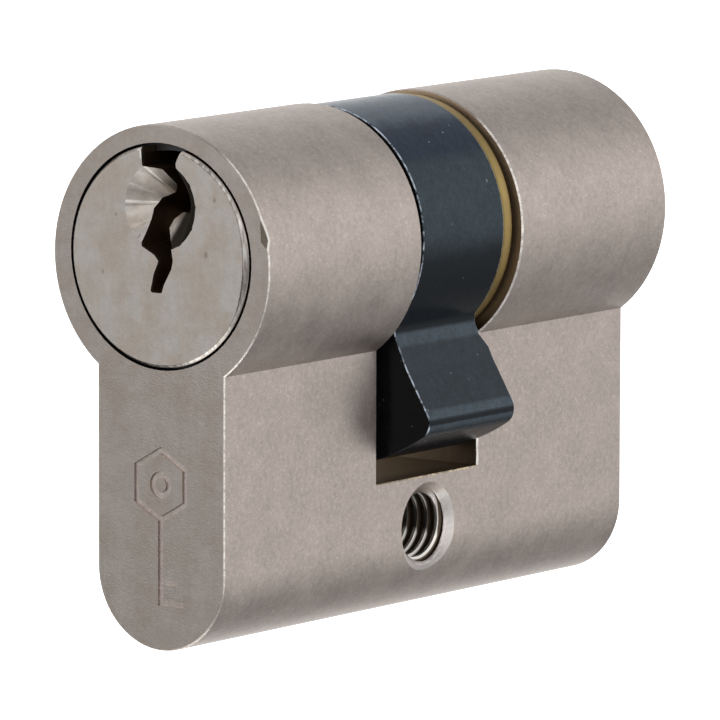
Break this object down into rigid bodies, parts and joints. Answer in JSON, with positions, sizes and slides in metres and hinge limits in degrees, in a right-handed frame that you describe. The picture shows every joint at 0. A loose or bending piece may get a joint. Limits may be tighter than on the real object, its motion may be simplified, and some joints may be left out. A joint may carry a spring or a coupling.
{
  "type": "euro cylinder",
  "caption": "Double euro profile lock cylinder: barrel over a flat flag, keyed plug in each end, cam between them, sprung pin stacks inside.",
  "frame": {"origin": "centre of the M5 fixing screw hole, in the middle of the flag's thickness; cylinder lengths are measured from this hole", "axes": "+X along the fixing screw hole, towards the side the cam nose leans to; +Y along the cylinder from the front key face to the rear one; +Z from the flag up to the barrel"},
  "size_m": [0.0171, 0.0428, 0.033],
  "materials": {
    "nickel_plate": "satin nickel plate on brass, fine grain",
    "plug_nickel": "smooth nickel plate on brass, keyway bare",
    "blued_steel": "satin blue-black",
    "brass": "turned, satin",
    "spring_steel": "dark oiled",
    "clutch_steel": "sintered, satin",
    "pin_brass": "turned",
    "driver_steel": "turned"
  },
  "bodies": {
    "housing": {"housing": "nickel_plate", "front_chamber_caps": "brass", "rear_chamber_caps": "brass", "front_pin_spring_1": "spring_steel", "front_pin_spring_2": "spring_steel", "front_pin_spring_3": "spring_steel", "front_pin_spring_4": "spring_steel", "rear_pin_spring_1": "spring_steel", "rear_pin_spring_2": "spring_steel", "rear_pin_spring_3": "spring_steel", "rear_pin_spring_4": "spring_steel"},
    "front_plug": {"front_plug": "plug_nickel", "front_circlip": "spring_steel"},
    "rear_plug": {"rear_plug": "plug_nickel", "rear_circlip": "spring_steel", "spacer_ring": "brass"},
    "cam": {"cam": "blued_steel"},
    "front_clutch": {"front_clutch": "clutch_steel", "clutch_spring": "spring_steel"},
    "rear_clutch": {"rear_clutch": "clutch_steel"},
    "front_key_pin_1": {"front_key_pin_1": "pin_brass"},
    "front_key_pin_2": {"front_key_pin_2": "pin_brass"},
    "front_key_pin_3": {"front_key_pin_3": "pin_brass"},
    "front_key_pin_4": {"front_key_pin_4": "pin_brass"},
    "rear_key_pin_1": {"rear_key_pin_1": "pin_brass"},
    "rear_key_pin_2": {"rear_key_pin_2": "pin_brass"},
    "rear_key_pin_3": {"rear_key_pin_3": "pin_brass"},
    "rear_key_pin_4": {"rear_key_pin_4": "pin_brass"},
    "front_driver_pin_1": {"front_driver_pin_1": "driver_steel"},
    "front_driver_pin_2": {"front_driver_pin_2": "driver_steel"},
    "front_driver_pin_3": {"front_driver_pin_3": "driver_steel"},
    "front_driver_pin_4": {"front_driver_pin_4": "driver_steel"},
    "rear_driver_pin_1": {"rear_driver_pin_1": "driver_steel"},
    "rear_driver_pin_2": {"rear_driver_pin_2": "driver_steel"},
    "rear_driver_pin_3": {"rear_driver_pin_3": "driver_steel"},
    "rear_driver_pin_4": {"rear_driver_pin_4": "driver_steel"}
  },
  "joints": [
    {"name": "front_plug_turn", "type": "hinge", "parent": "housing", "child": "front_plug", "pos_m": [0, 0, 0.019], "axis": [0, 1, 0], "continuous": true},
    {"name": "rear_plug_turn", "type": "hinge", "parent": "housing", "child": "rear_plug", "pos_m": [0, 0, 0.019], "axis": [0, 1, 0], "continuous": true},
    {"name": "cam_turn", "type": "hinge", "parent": "housing", "child": "cam", "pos_m": [0, 0, 0.019], "axis": [0, 1, 0], "continuous": true},
    {"name": "front_clutch_slide", "type": "slide", "parent": "front_plug", "child": "front_clutch", "axis": [0, 1, 0], "range_m": [-0.0013, 0]},
    {"name": "rear_clutch_slide", "type": "slide", "parent": "rear_plug", "child": "rear_clutch", "axis": [0, 1, 0], "range_m": [-0.0013, 0]},
    {"name": "front_key_pin_1_slide", "type": "slide", "parent": "front_plug", "child": "front_key_pin_1", "axis": [0, 0, 1], "range_m": [0, 0.0014]},
    {"name": "front_key_pin_2_slide", "type": "slide", "parent": "front_plug", "child": "front_key_pin_2", "axis": [0, 0, 1], "range_m": [0, 0.0014]},
    {"name": "front_key_pin_3_slide", "type": "slide", "parent": "front_plug", "child": "front_key_pin_3", "axis": [0, 0, 1], "range_m": [0, 0.0014]},
    {"name": "front_key_pin_4_slide", "type": "slide", "parent": "front_plug", "child": "front_key_pin_4", "axis": [0, 0, 1], "range_m": [0, 0.0014]},
    {"name": "rear_key_pin_1_slide", "type": "slide", "parent": "rear_plug", "child": "rear_key_pin_1", "axis": [0, 0, 1], "range_m": [0, 0.0014]},
    {"name": "rear_key_pin_2_slide", "type": "slide", "parent": "rear_plug", "child": "rear_key_pin_2", "axis": [0, 0, 1], "range_m": [0, 0.0014]},
    {"name": "rear_key_pin_3_slide", "type": "slide", "parent": "rear_plug", "child": "rear_key_pin_3", "axis": [0, 0, 1], "range_m": [0, 0.0014]},
    {"name": "rear_key_pin_4_slide", "type": "slide", "parent": "rear_plug", "child": "rear_key_pin_4", "axis": [0, 0, 1], "range_m": [0, 0.0014]},
    {"name": "front_driver_pin_1_slide", "type": "slide", "parent": "housing", "child": "front_driver_pin_1", "axis": [0, 0, 1], "range_m": [-0.0025, 0], "stiffness_N_per_m": 60, "springref_m": 0.005, "deforming": ["front_pin_spring_1"]},
    {"name": "front_driver_pin_2_slide", "type": "slide", "parent": "housing", "child": "front_driver_pin_2", "axis": [0, 0, 1], "range_m": [-0.0025, 0], "stiffness_N_per_m": 60, "springref_m": 0.005, "deforming": ["front_pin_spring_2"]},
    {"name": "front_driver_pin_3_slide", "type": "slide", "parent": "housing", "child": "front_driver_pin_3", "axis": [0, 0, 1], "range_m": [-0.0025, 0], "stiffness_N_per_m": 60, "springref_m": 0.005, "deforming": ["front_pin_spring_3"]},
    {"name": "front_driver_pin_4_slide", "type": "slide", "parent": "housing", "child": "front_driver_pin_4", "axis": [0, 0, 1], "range_m": [-0.0025, 0], "stiffness_N_per_m": 60, "springref_m": 0.005, "deforming": ["front_pin_spring_4"]},
    {"name": "rear_driver_pin_1_slide", "type": "slide", "parent": "housing", "child": "rear_driver_pin_1", "axis": [0, 0, 1], "range_m": [-0.0025, 0], "stiffness_N_per_m": 60, "springref_m": 0.005, "deforming": ["rear_pin_spring_1"]},
    {"name": "rear_driver_pin_2_slide", "type": "slide", "parent": "housing", "child": "rear_driver_pin_2", "axis": [0, 0, 1], "range_m": [-0.0025, 0], "stiffness_N_per_m": 60, "springref_m": 0.005, "deforming": ["rear_pin_spring_2"]},
    {"name": "rear_driver_pin_3_slide", "type": "slide", "parent": "housing", "child": "rear_driver_pin_3", "axis": [0, 0, 1], "range_m": [-0.0025, 0], "stiffness_N_per_m": 60, "springref_m": 0.005, "deforming": ["rear_pin_spring_3"]},
    {"name": "rear_driver_pin_4_slide", "type": "slide", "parent": "housing", "child": "rear_driver_pin_4", "axis": [0, 0, 1], "range_m": [-0.0025, 0], "stiffness_N_per_m": 60, "springref_m": 0.005, "deforming": ["rear_pin_spring_4"]}
  ],
  "couplings": [
    {"joint": "cam_turn", "follows": "front_plug_turn", "ratio": 1},
    {"joint": "rear_clutch_slide", "follows": "front_clutch_slide", "ratio": 1}
  ]
}
